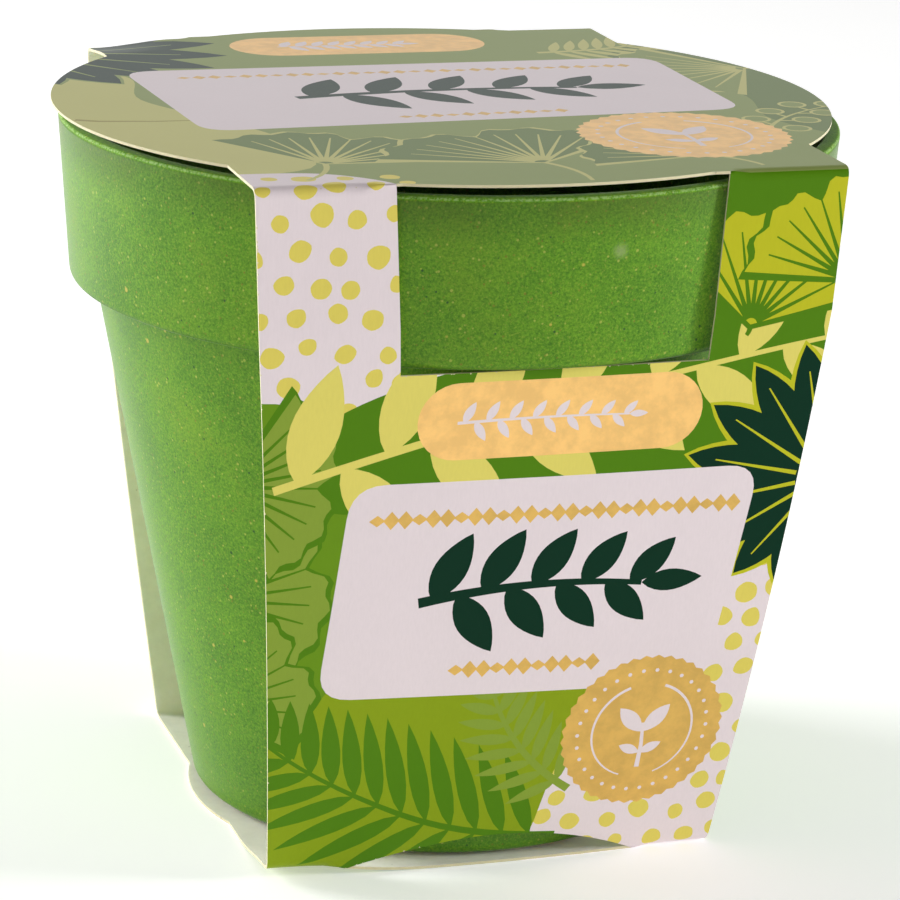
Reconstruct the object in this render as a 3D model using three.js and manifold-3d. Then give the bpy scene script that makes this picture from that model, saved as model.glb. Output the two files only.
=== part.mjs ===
// A herb grow kit: a bamboo-fibre pot held in a folded card sleeve, with pressed soil discs, a
// seed packet and an instruction leaflet inside the pot.
// Millimetres, +Z up. The origin is on the surface that the kit stands on, at the middle of its
// outline. The sleeve's plain open sides face -X and +X, its two tall panels face -Y and +Y.

import * as THREE from 'three';
import { mergeVertices } from 'three/addons/utils/BufferGeometryUtils.js';
import Module from 'manifold-3d';

const wasm = await Module();
wasm.setup();

// ---- driving dimensions -------------------------------------------------------------------

const clearance = 0.3; // between pieces that rest on or lie against each other
const board = 0.5; // thickness of the sleeve's card

const pot = {
  x: 0.55, // the pot stands a little off the sleeve's middle
  y: 0,
  foot: board + clearance,
  top: 104,
  rimRadius: 57.5, // outer, at the lip
  collarFootRadius: 55.7, // outer, at the collar's lower edge
  collarFoot: 79.5, // level of the collar's lower edge
  bodyTopRadius: 52.1, // outer, where the body meets the collar
  bodyFootRadius: 36.6, // outer, just above the base's rounded corner
  bodyFoot: 2.4, // level of that corner's upper end
  wall: 2.3,
  floor: 2.4,
  footRing: 31.5, // inner radius of the ring that the pot stands on
  footRecess: 0.8,
  cornerFillet: 1.7,
  floorFillet: 3,
  collarFillet: 1.2,
  lipFillet: 1.05,
  drainRadius: 1.8,
  drainCircle: 19,
  drainCount: 4,
  segments: 64,
};

const sleeve = {
  height: 105.9,
  topX: -0.75, // middle of the top panel
  topY: -0.2,
  footX: -1.3, // middle of the bottom panel
  footY: -2.4,
  topEarRadius: 57.3,
  footEarRadius: 36,
  frontHalf: 42.3, // half the front panel's width at the top fold
  backHalf: 41.6, // half the back panel's width at the top fold
  kinkHalf: 41.2, // half of either panel's width at the kink
  footHalf: 33.8, // half of either panel's width at the bottom fold
  topFold: 53.5, // from the middle to the top folds
  kinkFold: 52.7, // from the middle to the kink
  footFold: 34.6, // from the middle to the bottom folds
  kink: 85.6, // level of the kink in the tall panels
  bow: 1.8, // outward bow of the tall panels, seen from the side
  crown: 0.8, // least outward bulge of the tall panels, seen from above
  creaseEase: 7.5, // height over which the bulge dies out at the bottom fold
  wrapGap: 0.5, // from the card to the pot's wall where the pot pushes the card outwards
  topTabHalf: 22, // half chord of the round tabs over the windows
  footTabHalf: 22,
  footTabBulge: 0.8,
};

const windowCut = { shift: 1, topHalf: 23.8, footHalf: 22.3, foot: 79.1 };
const archCut = { half: 22, rise: 5, backHalf: 24.5, backRise: 8 };

const soilDisc = { radius: 31, height: 13, edge: 1.2 };
const packet = { width: 46, length: 60, thickness: 1.8, seam: 0.5, turn: 24 };
const leaflet = { width: 46, length: 62, sheet: 0.4, gap: 0.45, turn: -14 };

// ---- helpers ------------------------------------------------------------------------------

function toSolid(geometry) {
  const bare = geometry.clone();
  bare.deleteAttribute('normal');
  bare.deleteAttribute('uv');
  const merged = mergeVertices(bare, 1e-4);
  const mesh = new wasm.Mesh({
    numProp: 3,
    vertProperties: new Float32Array(merged.attributes.position.array),
    triVerts: new Uint32Array(merged.index.array),
  });
  return new wasm.Manifold(mesh);
}

function toGeometry(solid) {
  const { vertProperties, triVerts } = solid.getMesh();
  const geometry = new THREE.BufferGeometry();
  geometry.setAttribute('position', new THREE.BufferAttribute(new Float32Array(vertProperties), 3));
  geometry.setIndex(new THREE.BufferAttribute(new Uint32Array(triVerts), 1));
  geometry.computeVertexNormals();
  return geometry;
}

// Points along a rounded corner, from one angle to another, in degrees.
function corner(x, y, radius, from, to, steps) {
  const points = [];
  for (let i = 0; i <= steps; i += 1) {
    const angle = THREE.MathUtils.degToRad(from + ((to - from) * i) / steps);
    points.push(new THREE.Vector2(x + radius * Math.cos(angle), y + radius * Math.sin(angle)));
  }
  return points;
}

// A body of revolution about Z. Its profile of (radius, level) points starts on the axis, runs
// over the top and down the outside, and ends on the axis again.
function turned(profile, segments) {
  return new THREE.LatheGeometry(profile.reverse(), segments).rotateX(Math.PI / 2);
}

function addPiece(group, name, geometry, colour, roughness) {
  const material = new THREE.MeshStandardMaterial({ color: colour, roughness, metalness: 0 });
  const mesh = new THREE.Mesh(geometry, material);
  mesh.name = name;
  group.add(mesh);
  return mesh;
}

// ---- pot ----------------------------------------------------------------------------------

const bodySlope = (pot.bodyTopRadius - pot.bodyFootRadius) / (pot.collarFoot - pot.bodyFoot);
const bodyLean = THREE.MathUtils.radToDeg(Math.atan(bodySlope));
const collarSlope = (pot.rimRadius - pot.collarFootRadius) / (pot.top - pot.collarFoot);
const collarLean = THREE.MathUtils.radToDeg(Math.atan(collarSlope));
const floorTop = pot.foot + pot.footRecess + pot.floor;

// Outer radius of the pot's body, carried on upwards and downwards as a plain cone.
function bodyRadius(z) {
  return pot.bodyFootRadius + bodySlope * (z - pot.bodyFoot);
}

function collarRadius(z) {
  return pot.collarFootRadius + collarSlope * (z - pot.collarFoot);
}

function potProfile() {
  const p = pot;
  const floorCorner = floorTop + p.floorFillet;
  const shelf = p.collarFoot + p.wall; // the step inside, behind the collar's lower edge
  const lip = p.top - p.lipFillet;
  const foot = p.collarFoot + p.collarFillet;
  return [
    new THREE.Vector2(0, floorTop),
    ...corner(bodyRadius(floorCorner) - p.wall - p.floorFillet, floorCorner, p.floorFillet,
      -90, -bodyLean, 3),
    new THREE.Vector2(bodyRadius(shelf) - p.wall, shelf),
    new THREE.Vector2(collarRadius(shelf) - p.wall - 0.4, shelf),
    new THREE.Vector2(collarRadius(shelf) - p.wall, shelf + 0.4),
    ...corner(p.rimRadius - p.wall + p.lipFillet, lip, p.lipFillet, 180 - collarLean, 90, 3),
    ...corner(p.rimRadius - p.lipFillet, lip, p.lipFillet, 90, -collarLean, 4),
    ...corner(collarRadius(foot) - p.collarFillet, foot, p.collarFillet, -collarLean, -90, 4),
    new THREE.Vector2(p.bodyTopRadius + 0.5, p.collarFoot),
    new THREE.Vector2(p.bodyTopRadius - 0.1, p.collarFoot - 0.5),
    ...corner(p.bodyFootRadius - p.cornerFillet, p.foot + p.cornerFillet, p.cornerFillet,
      -bodyLean, -90, 4),
    new THREE.Vector2(p.footRing, p.foot),
    new THREE.Vector2(p.footRing - p.footRecess, p.foot + p.footRecess),
    new THREE.Vector2(0, p.foot + p.footRecess),
  ];
}

function makePot() {
  let solid = toSolid(turned(potProfile(), pot.segments));
  const drill = new THREE.CylinderGeometry(pot.drainRadius, pot.drainRadius, 4 * pot.floor, 16);
  drill.rotateX(Math.PI / 2);
  for (let i = 0; i < pot.drainCount; i += 1) {
    const angle = ((i + 0.5) * 2 * Math.PI) / pot.drainCount;
    const hole = drill.clone().translate(
      pot.drainCircle * Math.cos(angle), pot.drainCircle * Math.sin(angle), pot.foot + pot.floor);
    solid = solid.subtract(toSolid(hole));
  }
  return toGeometry(solid);
}

// ---- card sleeve --------------------------------------------------------------------------

// Where the sleeve's middle lies at a level: the folded loop leans a little over the pot.
function sleeveMiddle(z) {
  const part = z / sleeve.height;
  return new THREE.Vector2(
    THREE.MathUtils.lerp(sleeve.footX, sleeve.topX, part),
    THREE.MathUtils.lerp(sleeve.footY, sleeve.topY, part));
}

// Half the width of a tall panel, and its distance from the middle at its side edges.
function panelHalf(z, side) {
  const topHalf = side < 0 ? sleeve.frontHalf : sleeve.backHalf;
  if (z < sleeve.kink) return THREE.MathUtils.lerp(sleeve.footHalf, sleeve.kinkHalf, z / sleeve.kink);
  const part = (z - sleeve.kink) / (sleeve.height - sleeve.kink);
  return THREE.MathUtils.lerp(sleeve.kinkHalf, topHalf, part);
}

function panelReach(z) {
  if (z < sleeve.kink) {
    const part = z / sleeve.kink;
    const straight = THREE.MathUtils.lerp(sleeve.footFold, sleeve.kinkFold, part);
    return straight + sleeve.bow * 4 * part * (1 - part);
  }
  const part = (z - sleeve.kink) / (sleeve.height - sleeve.kink);
  return THREE.MathUtils.lerp(sleeve.kinkFold, sleeve.topFold, part);
}

// The panel's middle is pushed outwards by the pot. The bulge dies out at both folds.
function panelBulge(z, side) {
  const level = Math.min(z, windowCut.foot);
  const middle = sleeveMiddle(level);
  const panel = side * middle.y + panelReach(level);
  const potWall = side * pot.y + bodyRadius(level);
  const bulge = Math.max(sleeve.crown, potWall + sleeve.wrapGap + board - panel);
  const atFoot = 1 - (1 - Math.min(z / sleeve.creaseEase, 1)) ** 2;
  const atTop = Math.min((sleeve.height - z) / (sleeve.height - windowCut.foot), 1);
  return bulge * atFoot * atTop;
}

// A tall panel: a box of many cells, its corners moved onto the bent board.
function tallPanel(side) {
  const across = 14;
  const lowRows = 14;
  const highRows = 3;
  const geometry = new THREE.BoxGeometry(2, 1, 1, across, 1, lowRows + highRows);
  const position = geometry.attributes.position;
  for (let i = 0; i < position.count; i += 1) {
    const row = (position.getZ(i) + 0.5) * (lowRows + highRows);
    const z = row <= lowRows
      ? (sleeve.kink * row) / lowRows
      : sleeve.kink + ((sleeve.height - sleeve.kink) * (row - lowRows)) / highRows;
    const u = position.getX(i);
    const isOuter = side * position.getY(i) > 0;
    const middle = sleeveMiddle(z);
    const reach = panelReach(z) + panelBulge(z, side) * (1 - u * u) - (isOuter ? 0 : board);
    position.setXYZ(i, middle.x + u * panelHalf(z, side), middle.y + side * reach, z);
  }
  return toSolid(geometry);
}

// A prism along Y through one tall panel, from an outline drawn in X and Z.
function cutterAlongY(outline, side) {
  const depth = 40;
  const geometry = new THREE.ExtrudeGeometry(outline, { depth, bevelEnabled: false, curveSegments: 10 });
  geometry.rotateX(Math.PI / 2);
  geometry.translate(0, side > 0 ? 66 : -26, 0);
  return toSolid(geometry);
}

function windowOutline() {
  const top = sleeve.height - board;
  const middle = sleeveMiddle(windowCut.foot).x + windowCut.shift;
  return new THREE.Shape([
    new THREE.Vector2(middle - windowCut.footHalf, windowCut.foot),
    new THREE.Vector2(middle + windowCut.footHalf, windowCut.foot),
    new THREE.Vector2(middle + windowCut.topHalf, top),
    new THREE.Vector2(middle - windowCut.topHalf, top),
  ]);
}

// The circle through the two ends of a chord of the given half length, with the given rise.
function arcOf(half, rise) {
  const radius = (half * half + rise * rise) / (2 * rise);
  return { radius, sweep: Math.asin(Math.min(half / radius, 1)) };
}

function archOutline(half, rise) {
  const middle = sleeve.footX;
  const { radius, sweep } = arcOf(half, rise);
  const shape = new THREE.Shape();
  shape.moveTo(middle - half, -1);
  shape.lineTo(middle + half, -1);
  shape.absarc(middle, rise - radius, radius, Math.PI / 2 - sweep, Math.PI / 2 + sweep, false);
  return shape;
}

// A flat panel: a strip between its two folds, with a round ear on each side and a shallow
// round tab beyond each fold.
function plate({ x, y, z, frontHalf, backHalf, fold, earRadius, tabHalf, tabBulge }) {
  const earFront = -Math.asin(Math.sqrt(1 - (frontHalf / earRadius) ** 2));
  const earBack = Math.asin(Math.sqrt(1 - (backHalf / earRadius) ** 2));
  const { radius, sweep } = arcOf(tabHalf, tabBulge);
  const tab = fold + tabBulge - radius; // from the middle to the centre of a tab's arc
  const shape = new THREE.Shape();
  shape.moveTo(-frontHalf, -fold);
  shape.lineTo(-tabHalf, -fold);
  shape.absarc(0, -tab, radius, -Math.PI / 2 - sweep, -Math.PI / 2 + sweep, false);
  shape.lineTo(frontHalf, -fold);
  shape.absarc(0, 0, earRadius, earFront, earBack, false);
  shape.lineTo(backHalf, fold);
  shape.absarc(0, tab, radius, Math.PI / 2 - sweep, Math.PI / 2 + sweep, false);
  shape.lineTo(-backHalf, fold);
  shape.absarc(0, 0, earRadius, Math.PI - earBack, Math.PI - earFront, false);
  shape.closePath();
  const settings = { depth: board, bevelEnabled: false, curveSegments: 20 };
  return toSolid(new THREE.ExtrudeGeometry(shape, settings).translate(x, y, z));
}

function makeSleeve() {
  const s = sleeve;
  const top = plate({
    x: s.topX, y: s.topY, z: s.height - board, frontHalf: s.frontHalf, backHalf: s.backHalf,
    fold: s.topFold, earRadius: s.topEarRadius, tabHalf: s.topTabHalf,
    tabBulge: s.topEarRadius - s.topFold,
  });
  const bottom = plate({
    x: s.footX, y: s.footY, z: 0, frontHalf: s.footHalf, backHalf: s.footHalf,
    fold: s.footFold, earRadius: s.footEarRadius, tabHalf: s.footTabHalf, tabBulge: s.footTabBulge,
  });
  const front = tallPanel(-1)
    .subtract(cutterAlongY(windowOutline(), -1))
    .subtract(cutterAlongY(archOutline(archCut.half, archCut.rise), -1));
  const back = tallPanel(1)
    .subtract(cutterAlongY(windowOutline(), 1))
    .subtract(cutterAlongY(archOutline(archCut.backHalf, archCut.backRise), 1));
  return toGeometry(top.add(bottom).add(front).add(back));
}

// ---- contents of the pot ------------------------------------------------------------------

function makeSoilDisc() {
  const { radius, height, edge } = soilDisc;
  const profile = [
    new THREE.Vector2(0, height),
    new THREE.Vector2(radius - edge, height),
    new THREE.Vector2(radius, height - edge),
    new THREE.Vector2(radius, edge),
    new THREE.Vector2(radius - edge, 0),
    new THREE.Vector2(0, 0),
  ];
  return toGeometry(toSolid(turned(profile, 40)));
}

// A packet sealed all round: full in the middle, thin at its edges, flat underneath.
function makePacket() {
  const { width, length, thickness, seam } = packet;
  const geometry = new THREE.BoxGeometry(width, length, 1, 8, 10, 1);
  const position = geometry.attributes.position;
  for (let i = 0; i < position.count; i += 1) {
    const x = position.getX(i);
    const y = position.getY(i);
    const fullness = (1 - (2 * x / width) ** 4) * (1 - (2 * y / length) ** 4);
    const top = seam + (thickness - seam) * fullness;
    position.setZ(i, position.getZ(i) > 0 ? top : 0);
  }
  return toGeometry(toSolid(geometry));
}

// A sheet folded twice, to and fro: its edge is drawn in X and Z and extruded over its length.
function makeLeaflet() {
  const { width, length, sheet, gap } = leaflet;
  const end = width / 2;
  const inner = end - sheet;
  const step = sheet + gap;
  const outline = [
    [-end, 0], [end, 0], [end, step + sheet], [-inner, step + sheet], [-inner, 2 * step],
    [end, 2 * step], [end, 2 * step + sheet], [-end, 2 * step + sheet], [-end, step],
    [inner, step], [inner, sheet], [-end, sheet],
  ];
  const shape = new THREE.Shape(outline.map(([x, z]) => new THREE.Vector2(x, z)));
  const geometry = new THREE.ExtrudeGeometry(shape, { depth: length, bevelEnabled: false });
  geometry.rotateX(Math.PI / 2).translate(0, length / 2, 0);
  return toGeometry(toSolid(geometry));
}

// ---- assembly -----------------------------------------------------------------------------

const kit = new THREE.Group();

const potMesh = addPiece(kit, 'pot', makePot(), 0x5fa046, 0.55);
potMesh.position.set(pot.x, pot.y, 0);

addPiece(kit, 'card_sleeve', makeSleeve(), 0x86a016, 0.45);

const contents = new THREE.Group();
contents.position.set(pot.x, pot.y, floorTop + clearance);
kit.add(contents);

const discPitch = soilDisc.height + clearance;
['soil_disc_lower', 'soil_disc_upper'].forEach((name, level) => {
  addPiece(contents, name, makeSoilDisc(), 0x5a3d26, 0.95).position.z = level * discPitch;
});

const seeds = addPiece(contents, 'seed_packet', makePacket(), 0xb99a6a, 0.8);
seeds.position.z = 2 * discPitch;
seeds.rotation.z = THREE.MathUtils.degToRad(packet.turn);

const guide = addPiece(contents, 'instruction_leaflet', makeLeaflet(), 0xf2efe4, 0.75);
guide.position.z = 2 * discPitch + packet.thickness + clearance;
guide.rotation.z = THREE.MathUtils.degToRad(leaflet.turn);

export default kit;
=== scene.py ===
import math
import random

import bpy
from mathutils import Matrix, Vector
from mathutils.geometry import delaunay_2d_cdt


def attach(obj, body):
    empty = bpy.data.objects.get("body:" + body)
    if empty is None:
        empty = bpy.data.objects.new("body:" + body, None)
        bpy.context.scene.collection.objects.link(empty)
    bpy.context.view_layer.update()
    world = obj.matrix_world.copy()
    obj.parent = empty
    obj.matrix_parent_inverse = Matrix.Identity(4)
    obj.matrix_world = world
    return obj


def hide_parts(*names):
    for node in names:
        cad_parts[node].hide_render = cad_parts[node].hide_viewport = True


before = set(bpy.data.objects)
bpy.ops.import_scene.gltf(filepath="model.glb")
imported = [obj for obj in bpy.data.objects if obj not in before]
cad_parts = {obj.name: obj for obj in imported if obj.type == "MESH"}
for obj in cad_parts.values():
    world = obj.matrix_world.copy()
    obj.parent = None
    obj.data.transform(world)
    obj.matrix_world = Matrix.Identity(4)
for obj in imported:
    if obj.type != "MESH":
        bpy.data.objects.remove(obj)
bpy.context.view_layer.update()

mm = 0.001  # shapes are worked out in millimetres and scaled once, when a mesh is made
near = 0.001  # millimetres: places on the flat blank that are this close are one place


# One output in a node tree. Arithmetic on wires adds the Math nodes that do it.
class Wire:
    def __init__(self, tree, socket=None):
        self.tree = tree
        self.socket = socket

    # Adds any other node: its settings come first, then the values or wires of its inputs.
    def node(self, kind, settings=None, inputs=None, output=0):
        made = self.tree.nodes.new(kind)
        for name, value in (settings or {}).items():
            setattr(made, name, value)
        for name, value in (inputs or {}).items():
            if isinstance(value, Wire):
                self.tree.links.new(value.socket, made.inputs[name])
            else:
                made.inputs[name].default_value = value
        return Wire(self.tree, made.outputs[output])

    def math(self, operation, *others):
        return self.node("ShaderNodeMath", {"operation": operation}, dict(enumerate((self, *others))))

    def __add__(self, other):
        return self.math("ADD", other)

    def __sub__(self, other):
        return self.math("SUBTRACT", other)

    def __rsub__(self, other):
        return self.math("MULTIPLY_ADD", -1, other)

    def __mul__(self, other):
        return self.math("MULTIPLY", other)

    def __truediv__(self, other):
        return self.math("DIVIDE", other)

    __radd__ = __add__
    __rmul__ = __mul__

    # 0 below the first value, 1 above the second, with a soft step between them.
    def step(self, low, high):
        inputs = {"Value": self, "From Min": low, "From Max": high}
        return self.node("ShaderNodeMapRange", {"interpolation_type": "SMOOTHSTEP"}, inputs)

    def stretched(self, x, y, z):
        return self.node("ShaderNodeVectorMath", {"operation": "MULTIPLY"}, {0: self, 1: (x, y, z)})

    def grain(self, size, detail=2.0, roughness=0.5):
        inputs = {"Vector": self, "Scale": 1 / (size * mm), "Detail": detail, "Roughness": roughness}
        return self.node("ShaderNodeTexNoise", {}, inputs)

    # The distance to the nearest of many scattered points, in shares of their spacing.
    def scatter(self, spacing, output="Distance"):
        inputs = {"Vector": self, "Scale": 1 / (spacing * mm)}
        return self.node("ShaderNodeTexVoronoi", {}, inputs, output)

    # A colour: low where this wire is 0, high where it is 1.
    def blend(self, low, high):
        return self.node("ShaderNodeMix", {"data_type": "RGBA"}, {0: self, 6: low, 7: high}, output=2)

    def bump(self, height, strength=1.0):
        inputs = {"Height": self, "Strength": strength, "Distance": height * mm}
        return self.node("ShaderNodeBump", {}, inputs)


# A colour as it is named on paper, 0 to 255, in Blender's own linear numbers.
def colour(red, green, blue, tone=1.0):
    def linear(value):
        value = value / 255
        return value / 12.92 if value <= 0.04045 else ((value + 0.055) / 1.055) ** 2.4
    return (linear(red) * tone, linear(green) * tone, linear(blue) * tone, 1.0)


# paint gets the Object coordinates and gives the wires for the sockets that vary over the surface.
def newMaterial(name, paint, finish):
    material = bpy.data.materials.new(name)
    material.use_nodes = True
    shader = material.node_tree.nodes["Principled BSDF"]
    for socket, value in finish.items():
        shader.inputs[socket].default_value = value
    place = Wire(material.node_tree).node("ShaderNodeTexCoord", output="Object")
    for socket, wire in paint(place).items():
        material.node_tree.links.new(wire.socket, shader.inputs[socket])
    return material


# Runs a Geometry Nodes tree on a base mesh and returns the plain mesh that it makes. sockets maps
# the name of each of the tree's inputs to its kind and its value.
def runTree(name, base, sockets, build):
    tree = bpy.data.node_groups.new(name, "GeometryNodeTree")
    tree.interface.new_socket("Geometry", in_out="INPUT", socket_type="NodeSocketGeometry")
    for label, (kind, value) in sockets.items():
        tree.interface.new_socket(label, in_out="INPUT", socket_type="NodeSocket" + kind)
    tree.interface.new_socket("Geometry", in_out="OUTPUT", socket_type="NodeSocketGeometry")
    entry = tree.nodes.new("NodeGroupInput")
    made = build({socket.name: Wire(tree, socket) for socket in entry.outputs if socket.name})
    tree.links.new(made.socket, tree.nodes.new("NodeGroupOutput").inputs[0])
    holder = bpy.data.objects.new(name, base)
    bpy.context.scene.collection.objects.link(holder)
    modifier = holder.modifiers.new(name, "NODES")
    modifier.node_group = tree
    for item in tree.interface.items_tree:
        if item.in_out == "INPUT" and item.name in sockets:
            modifier[item.identifier] = sockets[item.name][1]
    evaluated = holder.evaluated_get(bpy.context.evaluated_depsgraph_get())
    mesh = bpy.data.meshes.new_from_object(evaluated)
    holder.modifiers.remove(modifier)
    bpy.data.objects.remove(holder)
    mesh.name = name
    return mesh


# The end of every tree: corners sharper than the angle stay crisp, the rest shades smoothly.
def finishTree(body, material, angle=40):
    sharp = body.node("GeometryNodeInputMeshEdgeAngle").math("GREATER_THAN", math.radians(angle))
    body = body.node("GeometryNodeRealizeInstances", {}, {"Geometry": body})
    smooth = body.node("GeometryNodeSetShadeSmooth", {"domain": "FACE"}, {"Geometry": body})
    crisp = {"Geometry": smooth, "Selection": sharp, "Shade Smooth": False}
    body = body.node("GeometryNodeSetShadeSmooth", {"domain": "EDGE"}, crisp)
    return body.node("GeometryNodeSetMaterial", {}, {"Geometry": body, "Material": material})


def addPiece(name, mesh, node):
    piece = bpy.data.objects.new(name, mesh)
    bpy.context.scene.collection.objects.link(piece)
    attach(piece, "root")
    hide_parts(node)
    return piece


def mix(low, high, share):
    return low + (high - low) * share


def clamped(value):
    return min(max(value, 0.0), 1.0)


def smoothStep(value):
    value = clamped(value)
    return value * value * (3 - 2 * value)


# Points along a rounded corner, from one angle to another, in degrees.
def corner(x, y, radius, start, end, steps):
    angles = [math.radians(mix(start, end, i / steps)) for i in range(steps + 1)]
    return [(x + radius * math.cos(a), y + radius * math.sin(a)) for a in angles]


# The same line with no stretch longer than step.
def refined(line, step):
    points = [line[0]]
    for (x0, y0), (x1, y1) in zip(line, line[1:]):
        count = max(1, math.ceil(math.hypot(x1 - x0, y1 - y0) / step))
        points += [(mix(x0, x1, i / count), mix(y0, y1, i / count)) for i in range(1, count + 1)]
    return points


# The two sides of a stroke along a line, thinning to a share of its width at the end.
def strokeSides(line, width, end=1.0):
    left, right = [], []
    last = len(line) - 1
    for i, (x, y) in enumerate(line):
        ax, ay = line[max(i - 1, 0)]
        bx, by = line[min(i + 1, last)]
        half = width / 2 * mix(1, end, i / last) / math.hypot(bx - ax, by - ay)
        left.append((x - (by - ay) * half, y + (bx - ax) * half))
        right.append((x + (by - ay) * half, y - (bx - ax) * half))
    return left, right


# The pot, from its foot to its lip.
pot = dict(
    x=0.55, foot=0.8, top=104.0, rimRadius=57.5, collarFootRadius=55.7, collarFoot=79.5,
    bodyTopRadius=52.1, bodyFootRadius=36.6, bodyFoot=2.4, wall=2.3, floor=2.4, footRing=31.5,
    footRecess=0.8, cornerFillet=1.7, floorFillet=3.0, collarFillet=1.2, lipFillet=0.45,
    drainRadius=1.8, drainCircle=19.0, drainCount=4, drainSides=28, drillDepth=24.0, segments=168,
    step=1.5, uneven=0.0012, sharpAngle=34,
)
bodySlope = (pot["bodyTopRadius"] - pot["bodyFootRadius"]) / (pot["collarFoot"] - pot["bodyFoot"])
collarSlope = (pot["rimRadius"] - pot["collarFootRadius"]) / (pot["top"] - pot["collarFoot"])
floorTop = pot["foot"] + pot["footRecess"] + pot["floor"]


def bodyRadius(z):
    return pot["bodyFootRadius"] + bodySlope * (z - pot["bodyFoot"])


def collarRadius(z):
    return pot["collarFootRadius"] + collarSlope * (z - pot["collarFoot"])


# The pot's section, from the axis over the floor and the lip, down the outside, to the axis. Where a
# corner isn't an arc, points a few tenths of a millimetre beside it soften it.
def potSection():
    p = pot
    bodyLean = math.degrees(math.atan(bodySlope))
    collarLean = math.degrees(math.atan(collarSlope))
    bend = floorTop + p["floorFillet"]
    shelf = p["collarFoot"] + p["wall"]  # the step inside, behind the collar's lower edge
    lip = p["top"] - p["lipFillet"]
    edge = p["collarFoot"] + p["collarFillet"]
    base = p["foot"] + p["cornerFillet"]
    return [
        (0, floorTop),
        *corner(bodyRadius(bend) - p["wall"] - p["floorFillet"], bend, p["floorFillet"],
                -90, -bodyLean, 6),
        (bodyRadius(shelf) - p["wall"] - 0.1, shelf - 0.5),
        (bodyRadius(shelf) - p["wall"] + 0.3, shelf),
        (collarRadius(shelf) - p["wall"] - 0.5, shelf),
        (collarRadius(shelf) - p["wall"] - 0.1, shelf + 0.1),
        (collarRadius(shelf) - p["wall"], shelf + 0.5),
        *corner(p["rimRadius"] - p["wall"] + p["lipFillet"], lip, p["lipFillet"],
                180 - collarLean, 90, 6),
        *corner(p["rimRadius"] - p["lipFillet"], lip, p["lipFillet"], 90, -collarLean, 8),
        *corner(collarRadius(edge) - p["collarFillet"], edge, p["collarFillet"],
                -collarLean, -90, 8),
        (p["bodyTopRadius"] + 0.4, p["collarFoot"]),
        (p["bodyTopRadius"] + 0.1, p["collarFoot"] - 0.1),
        (p["bodyTopRadius"] - 0.1, p["collarFoot"] - 0.5),
        *corner(p["bodyFootRadius"] - p["cornerFillet"], base, p["cornerFillet"],
                -bodyLean, -90, 8),
        (p["footRing"] + 0.2, p["foot"]),
        (p["footRing"], p["foot"] + 0.1),
        (p["footRing"] - p["footRecess"], p["foot"] + p["footRecess"]),
        (0, p["foot"] + p["footRecess"]),
    ]


# The points of a section that ends on the axis below, in the order that turns its faces outwards.
def sectionMesh(name, section, step):
    mesh = bpy.data.meshes.new(name)
    mesh.from_pydata([(x * mm, 0, z * mm) for x, z in refined(section[::-1], step)], [], [])
    return mesh


# Turns the section round the Z axis: one row of a grid for each of its points, one column for
# each segment, wrapped round and welded. The surface is left a little uneven, with broad swells and
# small ripples.
def turnedBody(w, swell=26.0, ripple=3.1, rippleShare=0.3, weld=0.002):
    line = w["Geometry"]
    rows = line.node("GeometryNodeAttributeDomainSize", {}, {"Geometry": line}, "Point Count")
    grid = line.node("GeometryNodeMeshGrid", {}, {"Vertices X": w["Segments"] + 1, "Vertices Y": rows})
    index = line.node("GeometryNodeInputIndex")
    column = ((index + 0.5) / rows).math("FLOOR")
    place = line.node("GeometryNodeInputPosition")
    found = line.node("GeometryNodeSampleIndex", {"data_type": "FLOAT_VECTOR"}, {
        "Geometry": line, "Value": place, "Index": index - column * rows})
    radius = found.node("ShaderNodeSeparateXYZ", {}, {0: found}, "X")
    level = found.node("ShaderNodeSeparateXYZ", {}, {0: found}, "Z")
    angle = column / w["Segments"] * (2 * math.pi)
    smooth = found.node("ShaderNodeCombineXYZ", {}, {
        "X": radius * angle.math("COSINE"), "Y": radius * angle.math("SINE"), "Z": level})
    wave = (smooth.grain(swell) - 0.5) + (smooth.grain(ripple) - 0.5) * rippleShare
    uneven = smooth.node("ShaderNodeVectorMath", {"operation": "SCALE"}, {
        0: smooth, "Scale": wave * w["Uneven"] + 1})
    body = line.node("GeometryNodeSetPosition", {}, {"Geometry": grid, "Position": uneven})
    return line.node("GeometryNodeMergeByDistance", {}, {"Geometry": body, "Distance": weld * mm})


# A ring of round holes through the floor.
def drilled(w, body):
    ring = body.node("GeometryNodeMeshCircle", {}, {"Vertices": w["Drains"], "Radius": w["Drain circle"]})
    drill = body.node("GeometryNodeMeshCylinder", {}, {
        "Vertices": pot["drainSides"], "Radius": w["Drain radius"], "Depth": pot["drillDepth"] * mm})
    drills = body.node("GeometryNodeInstanceOnPoints", {}, {"Points": ring, "Instance": drill})
    drills = body.node("GeometryNodeTransform", {}, {
        "Geometry": drills, "Rotation": (0, 0, math.pi / pot["drainCount"])})
    drills = body.node("GeometryNodeRealizeInstances", {}, {"Geometry": drills})
    return body.node("GeometryNodeMeshBoolean", {"operation": "DIFFERENCE", "solver": "MANIFOLD"}, {
        "Mesh 1": body, "Mesh 2": drills})


def placed(w, body):
    return body.node("GeometryNodeTransform", {}, {"Geometry": body, "Translation": w["Place"]})


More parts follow.
